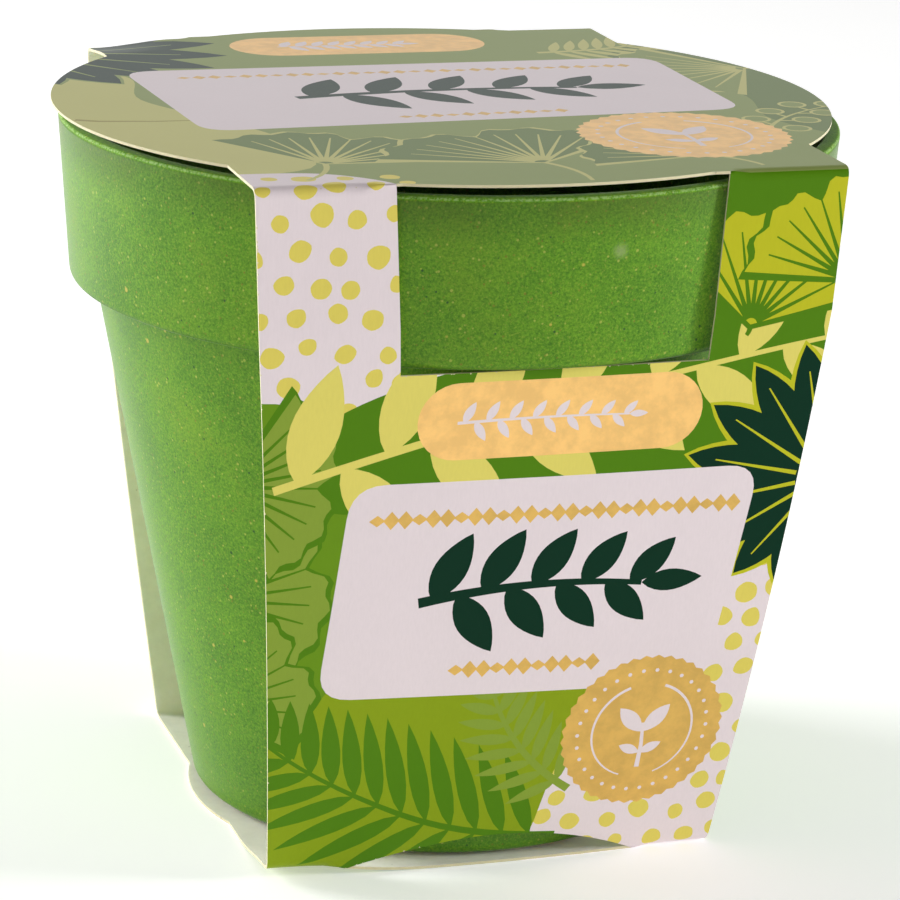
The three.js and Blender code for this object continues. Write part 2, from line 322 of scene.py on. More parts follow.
# The moulded fibre: its colours, from two main tones to a pale rub mark on the collar, with painted
# shade under the collar, under the lip and towards the foot and a painted highlight on the lip's
# edge, the sizes of its grain, and its finish.
fibre = dict(
    dark=(63, 117, 7), light=(108, 160, 26), olive=(112, 134, 24), paleHusk=(146, 162, 50),
    darkHusk=(44, 86, 6), brownFleck=(136, 104, 34), strawFleck=(180, 182, 80),
    blueFleck=(14, 58, 34), creamFleck=(206, 182, 78), lipFrostAndHighlight=(166, 198, 126), collarEdgeShade=(34, 72, 6),
    underCollarShade=(40, 80, 6), underLipShade=(58, 76, 8), foot=(48, 94, 6), rub=(158, 172, 112),
    rubPlace=(7.4, -56.5, 96.1), cloudSize=15, mottleSize=0.42, huskSize=0.3, frostSize=0.4,
    finish={"Specular IOR Level": 0.25, "Sheen Weight": 0.26, "Sheen Roughness": 0.2},
)


# Small flecks of uneven size, scattered a spacing apart.
def flecks(place, spacing, low, high):
    return 1 - (place.scatter(spacing) + (place.grain(spacing * 1.7) - 0.5) * 0.3).step(low, high)


# 1 within a band of heights and 0 outside it, with a soft step at either end.
def band(level, start, full, fade, end):
    return level.step(start, full) * (1 - level.step(fade, end))


def fibrePaint(place):
    f = fibre
    level = place.node("ShaderNodeSeparateXYZ", {}, {0: place}, "Z") / mm
    overTop = level - pot["top"]
    overCollar = level - pot["collarFoot"]
    cloud = place.grain(f["cloudSize"], 3, 0.6)
    mottle = place.grain(f["mottleSize"], 4, 0.8)
    husk = place.grain(f["huskSize"], 2, 0.6)
    tint = (cloud * 0.25 + mottle * 0.75).step(0.36, 0.64)
    lip = band(overTop, -0.5, -0.35, -0.15, 0)
    # painted shade under the collar's lower edge, which is also made rougher
    collarEdgeShade = band(overCollar, -0.5, -0.1, 0.1, 0.9)
    rubPlace = Vector(f["rubPlace"]) * mm
    rub = place.node("ShaderNodeVectorMath", {"operation": "DISTANCE"}, {0: place, 1: rubPlace}, "Value")
    layers = (
        ("olive", 0.18, cloud.step(0.5, 0.68)),
        ("paleHusk", 0.44, husk.step(0.54, 0.7)),
        ("darkHusk", 0.42, (1 - husk).step(0.54, 0.7)),
        ("brownFleck", 0.5, flecks(place, 1.15, 0.06, 0.17)),
        ("strawFleck", 0.6, flecks(place, 1.3, 0.06, 0.17)),
        ("blueFleck", 0.75, flecks(place, 1.9, 0.03, 0.1)),
        ("creamFleck", 0.7, flecks(place, 4.3, 0.02, 0.07)),
        # a pale frosted line on the lip's edge, made paler as a painted highlight where the edge catches
        # the light
        ("lipFrostAndHighlight", 0.6, lip * place.grain(f["frostSize"], 3).step(0.36, 0.62)),
        # painted shade: a darker line along the collar's lower edge
        ("collarEdgeShade", 0.4, collarEdgeShade),
        # painted shade: the body a little darker just under the collar
        ("underCollarShade", 0.14, band(overCollar, -8.5, -0.5, -0.5, -0.2)),
        # painted shade: the collar darker and browner in spots below the lip, under the card's overhang
        ("underLipShade", 0.55, band(overTop, -8.5, 0, -0.7, -0.5) * cloud.step(0.2, 0.6)),
        # painted shade: the body darker towards the foot
        ("foot", 0.28, 1 - level.step(2, 32)),
        ("rub", 0.5, 1 - (rub / mm + (husk - 0.5) * 1.6).step(0.2, 1.5)),
    )
    body = tint.blend(colour(*f["dark"]), colour(*f["light"]))
    for shade, share, mask in layers:
        body = (mask * share).blend(body, colour(*f[shade]))
    matt = collarEdgeShade + overTop.step(-0.9, -0.5)
    return {
        "Base Color": body,
        "Roughness": tint * 0.08 + matt * 0.4 + 0.35,
        "Normal": (husk * 0.4 + mottle * 0.6).bump(0.06, 0.6),
    }


def buildPot():
    material = newMaterial("bambooFibre", fibrePaint, fibre["finish"])
    sockets = {
        "Segments": ("Int", pot["segments"]),
        "Uneven": ("Float", pot["uneven"]),
        "Drains": ("Int", pot["drainCount"]),
        "Drain circle": ("Float", pot["drainCircle"] * mm),
        "Drain radius": ("Float", pot["drainRadius"] * mm),
        "Place": ("Vector", (pot["x"] * mm, 0, 0)),
    }

    def tree(w):
        return finishTree(placed(w, drilled(w, turnedBody(w))), material, pot["sharpAngle"])

    mesh = runTree("potShell", sectionMesh("potSection", potSection(), pot["step"]), sockets, tree)
    addPiece("pot_shell", mesh, "pot")
    print("pot", len(mesh.vertices), "vertices")


# The card sleeve is one strip, folded up. s runs across the flat blank, t along it: over the bottom
# panel from the back to the front, up the front panel, over the top panel and down the back panel
# to where it starts.
sleeve = dict(
    height=105.9, topX=-0.75, topY=-0.2, footX=-1.3, footY=-2.4, topEarRadius=57.3,
    footEarRadius=36.0, frontHalf=42.3, backHalf=41.6, kinkHalf=41.2, footHalf=33.8, topFold=53.5,
    kinkFold=52.7, footFold=34.6, kink=85.6, bow=1.8, crown=0.8, creaseEase=7.5, wrapGap=0.6,
    tabHalf=22.0, topTab=3.8, footTab=0.8, board=0.4, windowShift=1.0, windowTopHalf=23.8,
    windowFootHalf=22.3, windowFoot=79.1, archHalf=22.0, archRise=5.0, backArchHalf=24.5,
    backArchRise=8.0, foldWidth=1.6, foldFade=3.0, edgeStep=2.2, grid=4.0, gridColumns=14,
    gridAside=0.13, gridAlong=0.47, bendHalf=46, bendStep=2.3,
)
frontTop = sleeve["height"]
topMiddle = frontTop + sleeve["topFold"]
topBack = topMiddle + sleeve["topFold"]
backFoot = topBack + sleeve["height"]
bottomBack = -2 * sleeve["footFold"]
loop = backFoot - bottomBack


def sleeveMiddle(z):
    share = z / sleeve["height"]
    return mix(sleeve["footX"], sleeve["topX"], share), mix(sleeve["footY"], sleeve["topY"], share)


def panelHalf(z, side):
    if z < sleeve["kink"]:
        return mix(sleeve["footHalf"], sleeve["kinkHalf"], z / sleeve["kink"])
    topHalf = sleeve["frontHalf"] if side < 0 else sleeve["backHalf"]
    return mix(sleeve["kinkHalf"], topHalf, (z - sleeve["kink"]) / (sleeve["height"] - sleeve["kink"]))


def panelReach(z):
    if z < sleeve["kink"]:
        share = z / sleeve["kink"]
        return mix(sleeve["footFold"], sleeve["kinkFold"], share) + sleeve["bow"] * 4 * share * (1 - share)
    share = (z - sleeve["kink"]) / (sleeve["height"] - sleeve["kink"])
    return mix(sleeve["kinkFold"], sleeve["topFold"], share)


# The panel's middle is pushed outwards by the pot. The bulge dies out at both folds.
def panelBulge(z, side):
    level = min(max(z, 0), sleeve["windowFoot"])
    panel = side * sleeveMiddle(level)[1] + panelReach(level)
    bulge = max(sleeve["crown"], bodyRadius(level) + sleeve["wrapGap"] + sleeve["board"] - panel)
    atFoot = 1 - (1 - clamped(z / sleeve["creaseEase"])) ** 2
    atTop = clamped((sleeve["height"] - z) / (sleeve["height"] - sleeve["windowFoot"]))
    return bulge * atFoot * atTop


def wallPoint(s, z, side):
    middleX, middleY = sleeveMiddle(z)
    reach = panelReach(z) + panelBulge(z, side) * (1 - (s / panelHalf(z, side)) ** 2)
    return Vector((middleX + s, middleY + side * reach, z))


# How far a round tab or arch reaches over its chord, at a distance from its middle.
def arcRise(s, half, rise):
    radius = (half * half + rise * rise) / (2 * rise)
    return math.sqrt(max(radius * radius - s * s, 0)) - (radius - rise)


def arcLine(half, rise, steps):
    places = [mix(-half, half, i / steps) for i in range(steps + 1)]
    return [(s, arcRise(s, half, rise)) for s in places]


# The panel that a place on the blank belongs to. The round tabs stay flat with their panels.
def panelOf(s, t):
    if abs(s) <= sleeve["tabHalf"] + near:
        if t <= arcRise(s, sleeve["tabHalf"], sleeve["footTab"]) + near:
            return "bottom"
        tab = arcRise(s, sleeve["tabHalf"], sleeve["topTab"]) + near
        if frontTop - tab <= t <= topBack + tab:
            return "top"
    if t < 0:
        return "bottom"
    if t < frontTop:
        return "front"
    return "top" if t < topBack else "back"


# What handling has done to the card: the front left foot corner is lifted a little, though not
# under the pot, and the back left top corner pressed down. The reaches are how far each fades out.
wear = dict(
    lift=1.56, liftFrom=6.0, liftAlong=29.0, liftInwards=16.0, liftUpwards=26.0, potRadius=37.0,
    potReach=9.0, press=1.14, pressReach=13.0, pressDown=22.0,
)


def worn(point):
    x, y, z = point
    frontFoot = sleeve["footY"] - sleeve["footFold"]
    along = smoothStep((-x - wear["liftFrom"]) / wear["liftAlong"])
    inwards = smoothStep(1 - (y - frontFoot) / wear["liftInwards"])
    upwards = smoothStep(1 - z / wear["liftUpwards"])
    clear = smoothStep((math.hypot(x - pot["x"], y) - wear["potRadius"]) / wear["potReach"])
    lifted = along * inwards * upwards * clear
    backCorner = math.hypot(x + sleeve["backHalf"], y - sleeve["topFold"])
    pressed = smoothStep(1 - backCorner / wear["pressReach"])
    pressed *= smoothStep(1 - (sleeve["height"] - z) / wear["pressDown"])
    return Vector((x, y, z + wear["lift"] * lifted - wear["press"] * pressed))


def panelPoint(s, t, panel):
    if panel == "bottom":
        along = t if t < sleeve["height"] else t - loop
        flat = Vector((sleeve["footX"] + s, sleeve["footY"] - sleeve["footFold"] - along, 0))
    elif panel == "front":
        flat = wallPoint(s, t, -1)
    elif panel == "top":
        flat = Vector((sleeve["topX"] + s, sleeve["topY"] + t - topMiddle, sleeve["height"]))
    else:
        flat = wallPoint(s, backFoot - t, 1)
    return worn(flat)


# Each fold's place, the panels before and after it, and half the width of its cut-out.
folds = [
    (0.0, "bottom", "front", sleeve["archHalf"]),
    (frontTop, "front", "top", sleeve["windowTopHalf"] + sleeve["windowShift"]),
    (topBack, "top", "back", sleeve["windowTopHalf"] + sleeve["windowShift"]),
    (backFoot, "back", "bottom", sleeve["backArchHalf"]),
]


# The outer face of the folded card at a place on the blank. The folds are rounded, and turn sharp
# towards the cut-outs.
def cardPoint(s, t, panel=None):
    if t < bottomBack + sleeve["foldWidth"] and abs(s) > sleeve["backArchHalf"]:
        t += loop
    for at, before, after, opening in folds:
        width = sleeve["foldWidth"] * smoothStep((abs(s) - opening) / sleeve["foldFade"])
        if abs(t - at) < width:
            share = (t - at + width) / (2 * width)
            start = panelPoint(s, at - width, before)
            middle = panelPoint(s, at, before)
            end = panelPoint(s, at + width, after)
            return start * (1 - share) ** 2 + middle * 2 * share * (1 - share) + end * share ** 2
    if panel is None:
        panel = "bottom" if t > backFoot else panelOf(s, t)
    return panelPoint(s, t, panel)


def cardNormal(s, t):
    reach = 0.04
    panel = panelOf(s, t)
    if t < bottomBack + sleeve["foldWidth"] and abs(s) > sleeve["backArchHalf"]:
        panel = "bottom"
    across = cardPoint(s + reach, t, panel) - cardPoint(s - reach, t, panel)
    along = cardPoint(s, t + reach, panel) - cardPoint(s, t - reach, panel)
    return across.cross(along).normalized()


# One side edge of the blank, from the seam at the back to the seam again.
def sideEdge(sign):
    def ear(centre, radius, lowHalf, highHalf, steps):
        low = -math.degrees(math.acos(lowHalf / radius))
        high = math.degrees(math.acos(highHalf / radius))
        return corner(0, centre, radius, low, high, steps)

    e = sleeve
    line = [
        (e["footHalf"], bottomBack),
        *ear(-e["footFold"], e["footEarRadius"], e["footHalf"], e["footHalf"], 14),
        (e["footHalf"], 0),
        (e["kinkHalf"], e["kink"]),
        (e["frontHalf"], frontTop),
        *ear(topMiddle, e["topEarRadius"], e["frontHalf"], e["backHalf"], 60),
        (e["backHalf"], topBack),
        (e["kinkHalf"], backFoot - e["kink"]),
        (e["footHalf"], backFoot),
    ]
    return [(sign * s, t) for s, t in refined(line, e["edgeStep"])]


# The places on the seam where both its sides have a point, from its cut-out to its end.
seamPlaces = [mix(sleeve["backArchHalf"], sleeve["footHalf"], i / 4) for i in range(4)]


def blankOutline():
    e = sleeve
    seamLeft = [-s for s in reversed(seamPlaces)]
    tab = [(s, bottomBack - rise) for s, rise in arcLine(e["tabHalf"], e["footTab"], 24)]
    arch = [(s, backFoot - rise) for s, rise in arcLine(e["backArchHalf"], e["backArchRise"], 36)]
    return [
        *[(s, bottomBack) for s in seamLeft],
        *tab,
        *[(s, bottomBack) for s in seamPlaces],
        *sideEdge(1),
        *[(s, backFoot) for s in reversed(seamPlaces[1:])],
        *reversed(arch),
        *[(s, backFoot) for s in seamLeft[:-1]],
        *reversed(sideEdge(-1)),
    ]


# A window in a tall panel: cut straight on three sides, and round the tab on the fourth.
def windowHole(fold, direction):
    e = sleeve
    shift = sleeveMiddle(e["windowFoot"])[0] + e["windowShift"]
    low = shift - sleeveMiddle(e["windowFoot"])[0]
    high = shift - e["topX"]
    depth = direction * (e["height"] - e["windowFoot"])
    tab = [(s, fold + direction * rise) for s, rise in arcLine(e["tabHalf"], e["topTab"], 30)]
    cut = [
        (high - e["windowTopHalf"], fold),
        (low - e["windowFootHalf"], fold + depth),
        (low + e["windowFootHalf"], fold + depth),
        (high + e["windowTopHalf"], fold),
    ]
    return refined(cut, e["edgeStep"]) + tab[::-1]


def archHole():
    e = sleeve
    panelArc = arcLine(e["archHalf"], e["archRise"], 32)
    tabArc = arcLine(e["tabHalf"], e["footTab"], 24)
    return tabArc + panelArc[::-1][1:-1]


# The sleeve's inks and foils, its bare board, and the ink of a painted shadow along a crease.
inks = dict(
    lime=(136, 158, 22), leafGreen=(80, 128, 12), midGreen=(104, 144, 24), olive=(134, 158, 56),
    straw=(224, 212, 106), teal=(2, 48, 30), acid=(190, 190, 36), paper=(230, 217, 220),
    mustard=(222, 206, 96), khaki=(194, 191, 116), moss=(138, 152, 84), sage=(108, 128, 66),
    foil=(254, 204, 122), gold=(226, 182, 92), bruise=(158, 148, 70), board=(245, 239, 229),
    cutEdge=(212, 203, 166),
)
foilInks = ("foil", "gold")
inkNames = list(inks)
artwork = []  # (ink, outline), painted one over another


# An outline that runs anticlockwise, as filling needs it.
def turnedLeft(outline):
    pairs = zip(outline, outline[1:] + outline[:1])
    area = sum(x0 * y1 - x1 * y0 for (x0, y0), (x1, y1) in pairs)
    return outline if area > 0 else outline[::-1]


def moved(points, x, y, turn=0.0, size=1.0):
    c = math.cos(math.radians(turn)) * size
    s = math.sin(math.radians(turn)) * size
    return [(x + c * px - s * py, y + s * px + c * py) for px, py in points]


# The point at a distance from a middle, in the direction of an angle.
def spoke(radius, angle, x=0, y=0):
    return moved([(radius, 0)], x, y, angle)[0]


# A point on a line from the origin along X that bends to one side, by a share of its length.
def onBend(length, bend, share):
    return length * share, length * bend * 4 * share * (1 - share)


def bentLine(length, bend, steps):
    return [onBend(length, bend, i / steps) for i in range(steps + 1)]


# The outline of a leaf or petal, widest at the given share of its length.
def leafOutline(length, width, steps=10, peak=0.5):
    power = math.log(0.5) / math.log(peak)
    places = [i / steps for i in range(steps + 1)]
    upper = [(length * k, width / 2 * math.sin(math.pi * k ** power) ** 0.85) for k in places[1:-1]]
    lower = [(x, -y) for x, y in reversed(upper)]
    return [(0, 0)] + upper + [(length, 0)] + lower


# A smooth closed outline through a few points.
def smoothLoop(points, steps=7):
    outline = []
    count = len(points)
    for i in range(count):
        (ax, ay), (bx, by), (cx, cy), (dx, dy) = (points[(i + j - 1) % count] for j in range(4))
        for k in range(steps):
            u = k / steps
            w0 = -0.5 * u + u * u - 0.5 * u ** 3
            w1 = 1 - 2.5 * u * u + 1.5 * u ** 3
            w2 = 0.5 * u + 2 * u * u - 1.5 * u ** 3
            w3 = -0.5 * u * u + 0.5 * u ** 3
            outline.append((w0 * ax + w1 * bx + w2 * cx + w3 * dx, w0 * ay + w1 * by + w2 * cy + w3 * dy))
    return outline


def roundedLoop(points, radius, steps=6):
    outline = []
    count = len(points)
    for i in range(count):
        bx, by = points[i]
        ends = []
        for ax, ay in (points[i - 1], points[(i + 1) % count]):
            share = radius / math.hypot(ax - bx, ay - by)
            ends.append((mix(bx, ax, share), mix(by, ay, share)))
        (x0, y0), (x1, y1) = ends
        for k in range(steps + 1):
            u = k / steps
            w0, w1, w2 = (1 - u) ** 2, 2 * u * (1 - u), u * u
            outline.append((w0 * x0 + w1 * bx + w2 * x1, w0 * y0 + w1 * by + w2 * y1))
    return outline


dotField = dict(spacing=5.2, rowShare=0.88, jitter=0.9, least=1.15, most=1.75, flat=0.86, full=1.1)


# One panel of the print. Its motifs are drawn in the panel's own millimetres, and their outlines
# are placed on the blank.
class Panel:
    def __init__(self, x, y, turn):
        self.place = (x, y, turn)

    def shape(self, ink, outline):
        artwork.append((ink, turnedLeft(moved(outline, *self.place))))

    def stroke(self, ink, line, width, end=0.3):
        left, right = strokeSides(line, width, end)
        self.shape(ink, left + right[::-1])

    # Irregular round dots in staggered rows.
    def dots(self, ink, left, low, right, high, seed):
        d = dotField
        draw = random.Random(seed)
        step = d["spacing"]
        rowStep = step * d["rowShare"]
        for row in range(int((high - low) / rowStep) + 1):
            for column in range(int((right - left) / step) + 1):
                x = left + step * (column + 0.5 * (row % 2)) + draw.uniform(-d["jitter"], d["jitter"])
                y = low + rowStep * row + draw.uniform(-d["jitter"], d["jitter"])
                radius = draw.uniform(d["least"], d["most"])
                ring = [spoke(radius * draw.uniform(d["flat"], d["full"]), i * 60) for i in range(6)]
                self.shape(ink, moved(smoothLoop(ring, 3), x, y, draw.uniform(0, 60)))

    # A fern frond: leaflets in pairs along a bent stem, with the ground showing between them.
    def frond(self, ink, x, y, turn, length, bend=0.12, pairs=12, reach=0.3):
        self.stroke(ink, moved(bentLine(length, bend, 16), x, y, turn), 1.3)
        pitch = length / (pairs + 0.8)
        for i in range(pairs):
            k = (i + 0.9) / (pairs + 0.8)
            px, py = onBend(length, bend, k)
            lean = math.degrees(math.atan(bend * 4 * (1 - 2 * k)))
            size = length * reach * math.sin(math.pi * mix(0.3, 0.95, k)) + 1
            leaflet = leafOutline(size, min(pitch * 0.68, size * 0.5), 7, 0.42)
            for side in (-1, 1):
                blade = moved(leaflet, px, py, lean + side * mix(64, 42, k))
                self.shape(ink, moved(blade, x, y, turn))

    # A fan palm's leaf: long blades spread about the end of a stalk, each with a midrib.
    def palm(self, ink, line, x, y, turn, radius, blades=11, spread=105):
        self.stroke(line, moved(bentLine(radius * 0.8, 0.08, 6), x, y, turn + 180), 1.6, 0.8)
        aims = [2 * i / (blades - 1) - 1 for i in range(blades)]
        shares = [1 - 0.24 * aim * aim for aim in aims]  # the outer blades are shorter
        for shade, grow in ((line, 0.7), (ink, 0.0)):
            for aim, share in zip(aims, shares):
                blade = leafOutline(radius * share + grow, radius * 0.27 + 2 * grow, 12, 0.56)
                self.shape(shade, moved(blade, x, y, turn + aim * spread))
        for aim, share in zip(aims, shares):
            rib = [(radius * k * share, 0) for k in (0.2, 0.5, 0.8)]
            self.stroke(line, moved(rib, x, y, turn + aim * spread), radius * 0.03)

    # A fan-shaped leaf on a thin stalk, with rays.
    def fan(self, ink, line, x, y, turn, radius, rays=9, rim=0.8, stalk=0.55):
        def outline(size, spread, back, steps=32):
            edge = []
            for i in range(steps + 1):
                u = i / steps
                notch = 0.16 * math.exp(-((u - 0.5) / 0.07) ** 2)
                wave = 1 + 0.035 * math.cos(u * math.pi * 14) - notch
                edge.append(spoke(size * wave, mix(-spread, spread, u)))
            return [(-back, 0)] + edge

        self.shape(line, moved(outline(radius + rim, 66, rim), x, y, turn))
        self.shape(ink, moved(outline(radius, 62, 0), x, y, turn))
        for i in range(rays):
            aim = mix(-50, 50, i / (rays - 1))
            ray = [spoke(radius * k, aim) for k in (0.06, 0.45, 0.84)]
            self.stroke(line, moved(ray, x, y, turn), 0.75, 0.3)
        self.stroke(line, moved(bentLine(radius * stalk, 0.1, 6), x, y, turn + 180), 0.9, 0.7)

    # A stem with berries on short stalks to both sides.
    def sprig(self, ink, line, x, y, turn, length, bend=0.1, berries=9, radius=1.7):
        self.stroke(line, moved(bentLine(length, bend, 14), x, y, turn), 0.9)
        for i in range(berries):
            k = (i + 1) / berries
            px, py = onBend(length, bend, k)
            side = (-1) ** i if i < berries - 1 else 0
            bx, by = px + 2.6, py + side * 3.4
            stalk = [(px, py), (mix(px, bx, 0.5), mix(py, by, 0.65)), (bx, by)]
            self.stroke(line, moved(stalk, x, y, turn), 0.6)
            berry = moved([(bx, by)], x, y, turn)[0]
            self.shape(line, corner(*berry, radius + 0.5, 0, 340, 17))
            self.shape(ink, corner(*berry, radius, 0, 340, 17))

    # A stem with plain leaves to both sides, all in one ink.
    def garland(self, ink, x, y, turn, length, leaf, count, width=1.1, bend=0.03, slim=0.4):
        self.stroke(ink, moved(bentLine(length, bend, 20), x, y, turn), width, 0.5)
        for i in range(count):
            k = (i + 0.5) / count
            px, py = onBend(length, bend, k)
            size = leaf * mix(1.0, 0.78, k)
            lean = (-1) ** i * mix(62, 44, k)
            blade = moved(leafOutline(size, size * slim, 11, 0.45), px, py, lean)
            self.shape(ink, moved(blade, x, y, turn))
        tip = moved(leafOutline(leaf * 0.8, leaf * 0.3, 9, 0.45), length, 0)
        self.shape(ink, moved(tip, x, y, turn))

    # Small spots where the ink has chipped off, scattered along a line.
    def chips(self, line, count, seed, size=0.4):
        draw = random.Random(seed)
        for _ in range(count):
            (x0, y0), (x1, y1) = draw.choice(list(zip(line, line[1:])))
            k = draw.random()
            spot = [spoke(size * draw.uniform(0.4, 1.3), i * 360 / 7) for i in range(7)]
            self.shape("cutEdge", moved(spot, mix(x0, x1, k), mix(y0, y1, k)))

    # A row of small lozenges. Every third one is lower.
    def lozenges(self, ink, x0, y0, x1, y1, count, size):
        for i in range(count):
            k = i / (count - 1)
            high = size * (1.0 if i % 3 else 0.62)
            outline = [(size * 0.42, 0), (0, high / 2), (-size * 0.42, 0), (0, -high / 2)]
            self.shape(ink, moved(outline, mix(x0, x1, k), mix(y0, y1, k)))

    # A foil seal with a scalloped edge, a ring of dots and a small sprout.
    def seal(self, ink, x, y, radius, scallops=40):
        edge = []
        for i in range(scallops * 4):
            angle = 360 * i / (scallops * 4)
            dent = 0.035 * math.cos(math.radians(angle * scallops / 2)) ** 2
            edge.append(spoke(radius * (1 - dent), angle, x, y))
        self.shape(ink, edge)
        for i in range(30):
            spot = spoke(radius * 0.8, i * 12, x, y)
            self.shape("paper", corner(*spot, radius * 0.026, 0, 300, 5))
        blade = leafOutline(radius * 0.46, radius * 0.2, 9, 0.5)
        for side in (-1, 1):
            arc = corner(x, y, radius * 0.62, 90 - side * 20, 90 - side * 160, 22)
            self.stroke("paper", arc, radius * 0.035, 0.5)
            self.shape("paper", moved(blade, x, y - radius * 0.02, 90 - side * 42))
            self.shape("paper", moved(blade, x, y - radius * 0.3, 90 - side * 66, 0.62))
        stem = [(x, y - radius * 0.5), (x + 0.2, y - radius * 0.2), (x, y + radius * 0.1)]
        self.stroke("paper", stem, radius * 0.06, 0.6)

    # A capsule of foil with a thin garland on it.
    def pill(self, left, right, low, high):
        radius = (high - low) / 2
        y = (low + high) / 2
        outline = corner(right - radius, y, radius, -90, 90, 16)
        outline += corner(left + radius, y, radius, 90, 270, 16)
        self.shape("foil", outline)
        length = right - left - radius * 2.9
        self.garland("paper", left + radius, y - 0.2, 0, length, radius * 0.6, 15, 0.45, 0.01)


front = Panel(0, 0, 0)
top = Panel(0, topMiddle, 0)
back = Panel(0, backFoot, 180)


def paintFront():
    front.shape("paper", [(-60, 0), (60, 0), (60, frontTop), (-60, frontTop)])
    front.dots("mustard", 4, 2, 42, 62, 12)
    front.dots("mustard", -44, 73.9, -20, 99, 11)
    front.shape("lime", smoothLoop([
        (-52, 62), (-40, 68), (-29, 62), (-14, 70), (2, 80), (26, 84), (52, 92), (56, 70), (44, 63),
        (28, 57), (24, 42), (14, 30), (8, 17), (5, 5), (0, -14), (-30, -16), (-56, -10)]))
    front.shape("midGreen", smoothLoop([
        (-54, 72), (-40, 76), (-31, 72), (-24, 60), (-24, 40), (-31, 28), (-42, 24), (-54, 28)]))
    front.shape("leafGreen", smoothLoop([
        (-34, 60), (-34, 70), (-22, 77), (0, 82), (24, 82), (46, 88), (56, 80), (52, 62), (30, 56)]))
    front.shape("leafGreen", smoothLoop([
        (16, 118), (17, 88), (20, 76), (44, 80), (60, 86), (60, 118)]))
    front.fan("olive", "leafGreen", -45, 47, 18, 16)
    front.fan("olive", "leafGreen", -45, 30, 30, 15)
    front.fan("olive", "leafGreen", -44, 64, -4, 15)
    front.garland("straw", -38, 63, 13, 84, 18, 13, 1.3, 0.02)
    front.fan("acid", "leafGreen", 29, 84, 74, 16, stalk=0.1)
    front.fan("acid", "leafGreen", 43, 90, 112, 15, stalk=0.1)
    front.palm("teal", "acid", 43, 60, 146, 22)
    front.frond("leafGreen", 9, 4, 154, 56, 0.1, 13, 0.3)
    front.frond("olive", 10, 12, 124, 26, 0.1, 9, 0.3)


def paintTop():
    tab = [(s, -sleeve["topFold"] - rise) for s, rise in arcLine(sleeve["tabHalf"], sleeve["topTab"], 24)]
    ground = [(-70, -53.5), *tab, (70, -53.5), (70, 53.5), *moved(tab, 0, 0, 180), (-70, 53.5)]
    top.shape("moss", ground)
    top.shape("khaki", smoothLoop([
        (-68, 40), (-50, 32), (-42, 22), (-44, 6), (-36, -10), (-30, -26), (-34, -44), (-68, -40)]))
    top.shape("sage", smoothLoop([
        (66, 44), (44, 38), (34, 20), (46, -2), (44, -22), (56, -40), (70, -34)]))
    top.shape("paper", smoothLoop([
        (-50, -46), (-36, -45), (-28, -48), (-23, -54.4), (-30, -56), (-50, -56)]))
    front.dots("mustard", -44, 101.4, -20, 114, 13)
    top.palm("teal", "moss", -58, 46, -14, 36, 9, 66)
    top.fan("sage", "khaki", -29, -40, 62, 20, 11, 0.5)
    top.fan("sage", "khaki", 1, -44, 104, 22, 11, 0.5)
    top.fan("sage", "khaki", 25, -43, 128, 17, 9, 0.5)
    top.frond("khaki", 26, 33, 24, 34, -0.1, 12, 0.26)
    top.fan("moss", "khaki", 54, 16, -176, 20, 9, 0.5)
    top.sprig("moss", "khaki", 38, -34, 50, 26, 0.1, 8)


# Chips where the ink has worn off, and a crease on the top panel painted as shade and highlight.
def paintWearAndCreaseShade():
    front.chips([(-33.8, 0), (-41.2, 85.6), (-42.3, frontTop)], 14, 3, 0.2)
    front.chips([(-21.3, sleeve["windowFoot"]), (23.3, sleeve["windowFoot"])], 12, 4, 0.16)
    front.chips(arcLine(sleeve["archHalf"], sleeve["archRise"], 12)[:4], 6, 5, 0.2)
    front.chips([(-42, frontTop), (-24, frontTop)], 4, 6, 0.12)
    crease = [(-56.4, -7.1), (-53.2, -8.5), (-45.4, -9.7), (-36, -9.9)]
    # painted shadow along the crease, and a painted highlight in khaki just beside it
    top.stroke("bruise", moved(crease, 0, 0.4), 1.2, 0.3)
    top.stroke("khaki", moved(crease, 0, -0.3), 0.4)


def paintBack():
    back.shape("paper", [(-60, -1), (60, -1), (60, sleeve["height"]), (-60, sleeve["height"])])
    back.dots("mustard", -40, 5, -8, 34, 31)
    back.dots("mustard", 8, 66, 42, 104, 32)
    back.shape("lime", smoothLoop([
        (-56, 36), (-34, 32), (-14, 24), (-4, 14), (8, 9), (28, 6), (56, 7), (56, 60), (34, 66),
        (10, 74), (-20, 82), (-56, 84)]))
    back.shape("leafGreen", smoothLoop([
        (-56, 112), (-56, 72), (-38, 66), (-26, 74), (-20, 88), (-22, 112)]))
    back.fan("acid", "leafGreen", -42, 78, 62, 17)
    back.garland("straw", -40, 60, 12, 82, 17, 13, 1.3, 0.02)
    back.frond("leafGreen", 34, 8, 142, 50, -0.1, 13, 0.3)
    back.fan("olive", "leafGreen", 42, 46, 164, 16)
    back.palm("teal", "acid", -42, 34, 30, 20)
    back.sprig("lime", "leafGreen", -32, 8, 70, 20)


